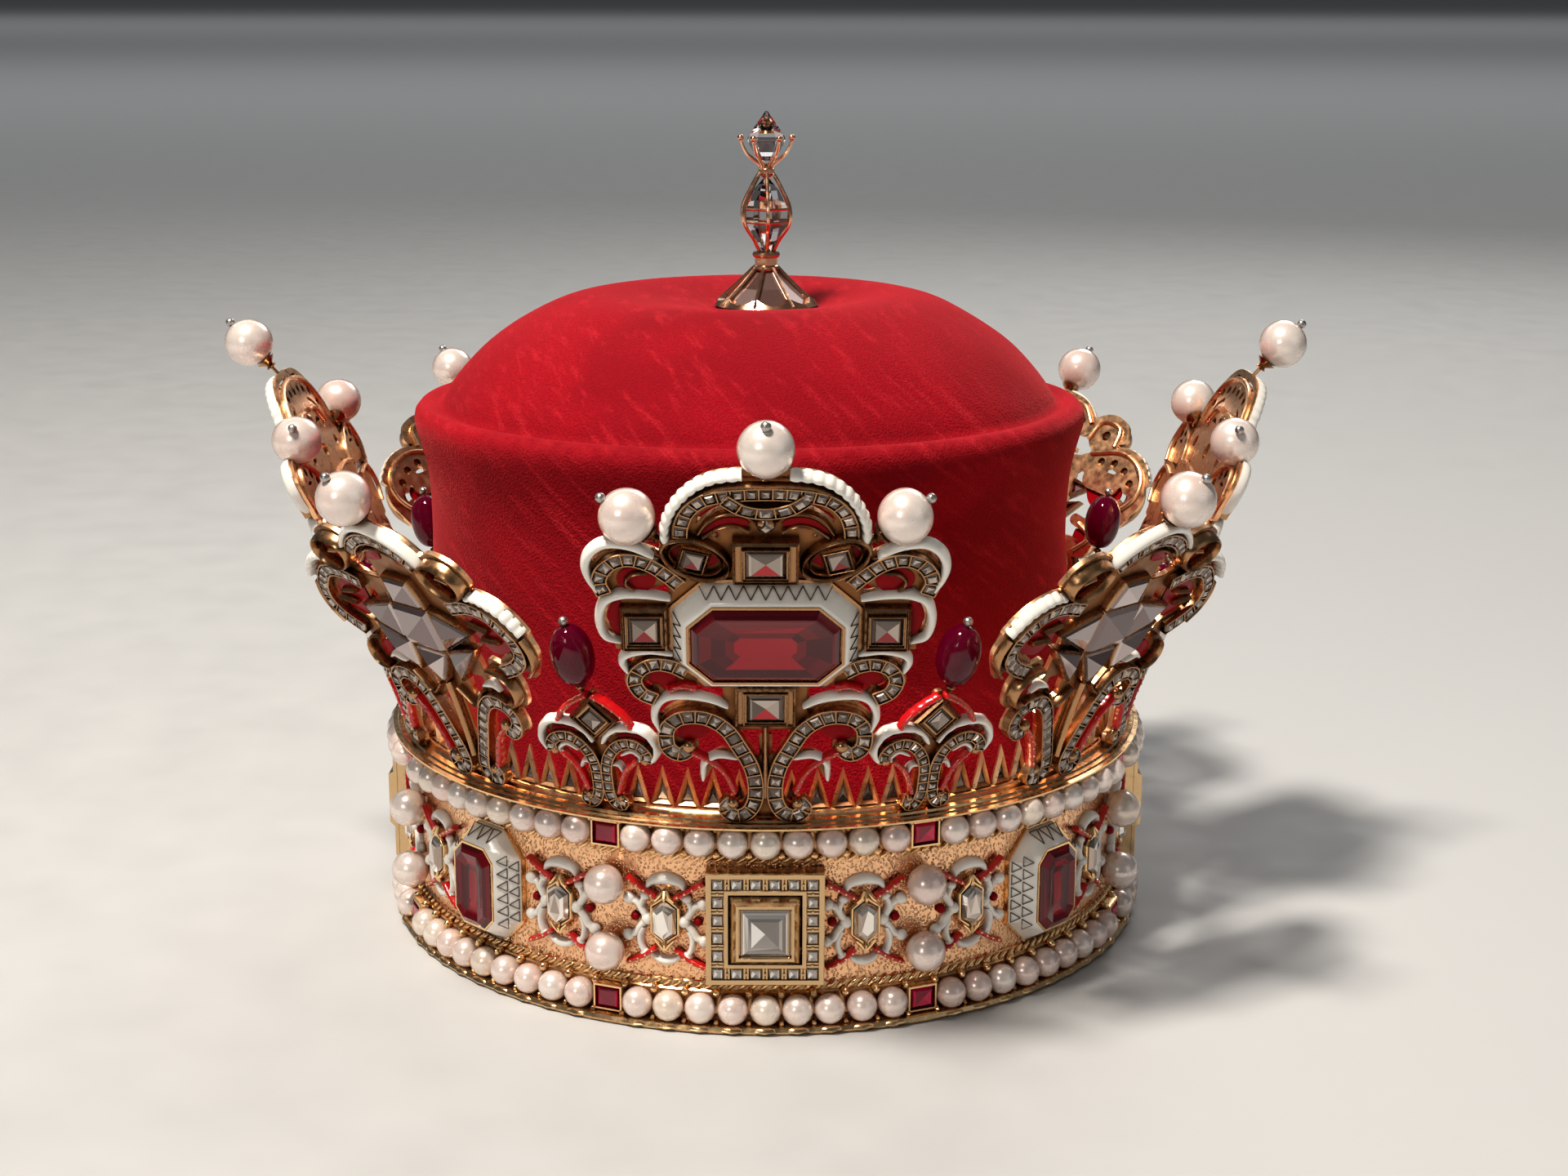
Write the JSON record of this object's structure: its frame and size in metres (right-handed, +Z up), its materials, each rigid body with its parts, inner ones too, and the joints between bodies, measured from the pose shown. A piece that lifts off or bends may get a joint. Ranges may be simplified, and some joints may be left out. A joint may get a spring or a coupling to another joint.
{
  "type": "jewelled crown with velvet cap",
  "caption": "Gold crown: jewelled band, spiked cresting, leaning palmettes with pearls and rubies, a red velvet cap inside and a rock crystal finial on top.",
  "frame": {"origin": "centre of the crown at the lower edge of the band", "axes": "+Z up along the axis of the band, -Y to the front palmette, +X to the wearer's left as seen from the front"},
  "size_m": [0.2794, 0.2704, 0.2068],
  "materials": {
    "crown_gold": "warm polished and matt gold with darker hollows",
    "white_enamel": "glossy creamy white enamel on gold",
    "red_enamel": "glossy translucent red enamel",
    "red_glass": "small strung red glass beads",
    "ruby": "deep red step cut stone",
    "ruby_bead": "smooth polished dark red bead",
    "diamond": "clear square cut stone with dark reflections",
    "rock_crystal": "clear faceted rock crystal",
    "pearl": "cream to pink pearl lustre",
    "silver": "dull silver pin heads",
    "red_velvet": "bright red brushed velvet pile"
  },
  "bodies": {
    "root": {"circlet": "crown_gold", "velvet_cap": "red_velvet", "finial": "crown_gold", "finial_knop": "rock_crystal", "finial_tip": "rock_crystal", "upper_pearls": "pearl", "lower_pearls": "pearl", "rim_rubies": "ruby", "band_pearls": "pearl", "band_crystals": "rock_crystal", "ruby_beads": "ruby_bead", "palmette_pearls": "pearl", "plaque_1": "crown_gold", "plaque_diamond_1": "diamond", "ruby_setting_1": "white_enamel", "band_ruby_1": "ruby", "palmette_ruby_1": "ruby", "palmette_crystals_1": "rock_crystal", "plaque_2": "crown_gold", "plaque_diamond_2": "diamond", "ruby_setting_2": "white_enamel", "band_ruby_2": "ruby", "palmette_ruby_2": "ruby", "palmette_crystals_2": "rock_crystal", "plaque_3": "crown_gold", "plaque_diamond_3": "diamond", "ruby_setting_3": "white_enamel", "band_ruby_3": "ruby", "palmette_ruby_3": "ruby", "palmette_crystals_3": "rock_crystal", "plaque_4": "crown_gold", "plaque_diamond_4": "diamond", "ruby_setting_4": "white_enamel", "band_ruby_4": "ruby", "palmette_ruby_4": "ruby", "palmette_crystals_4": "rock_crystal", "band_scrolls_1": "white_enamel", "palmette_1": "crown_gold", "minor_palmette_1": "crown_gold", "band_scrolls_2": "white_enamel", "palmette_2": "crown_gold", "minor_palmette_2": "crown_gold", "band_scrolls_3": "white_enamel", "palmette_3": "crown_gold", "minor_palmette_3": "crown_gold", "band_scrolls_4": "white_enamel", "palmette_4": "crown_gold", "minor_palmette_4": "crown_gold", "band_scrolls_5": "white_enamel", "palmette_5": "crown_gold", "minor_palmette_5": "crown_gold", "band_scrolls_6": "white_enamel", "palmette_6": "crown_gold", "minor_palmette_6": "crown_gold", "band_scrolls_7": "white_enamel", "palmette_7": "crown_gold", "minor_palmette_7": "crown_gold", "band_scrolls_8": "white_enamel", "palmette_8": "crown_gold", "minor_palmette_8": "crown_gold"}
  },
  "joints": []
}
